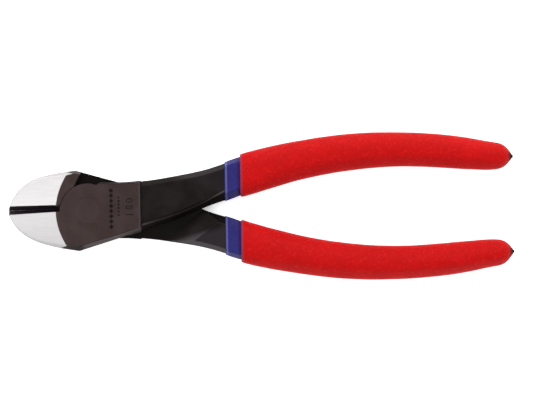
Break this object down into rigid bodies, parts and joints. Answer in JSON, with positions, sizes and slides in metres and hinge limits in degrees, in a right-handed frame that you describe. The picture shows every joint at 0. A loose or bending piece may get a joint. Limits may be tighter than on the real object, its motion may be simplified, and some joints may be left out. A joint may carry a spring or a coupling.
{
  "type": "diagonal cutting pliers",
  "caption": "Diagonal cutting pliers: forged lap-jointed halves on a flush rivet, ground jaws with bevelled cutting edges, and dipped grips over a contrasting undercoat.",
  "frame": {"origin": "on the rivet's axis, in the rear joint face", "axes": "+X from the jaws to the handles, +Y to the upper handle, +Z out of the front joint face"},
  "size_m": [0.1816, 0.0526, 0.011],
  "materials": {
    "forged_steel": "black oxide forging with ground joint and jaw faces",
    "rivet_steel": "ground flush with the joint face",
    "first_dip": "satin dipped vinyl",
    "second_dip": "matte dipped vinyl with a fine grain"
  },
  "bodies": {
    "rear": {"rear_half": "forged_steel", "pivot_rivet": "rivet_steel", "lower_grip_underlayer": "first_dip", "lower_grip_outer": "second_dip"},
    "front": {"front_half": "forged_steel", "upper_grip_underlayer": "first_dip", "upper_grip_outer": "second_dip"}
  },
  "joints": [
    {"name": "pivot", "type": "hinge", "parent": "rear", "child": "front", "pos_m": [0, 0, 0.0055], "axis": [0, 0, 1], "range_deg": [0, 44]}
  ]
}
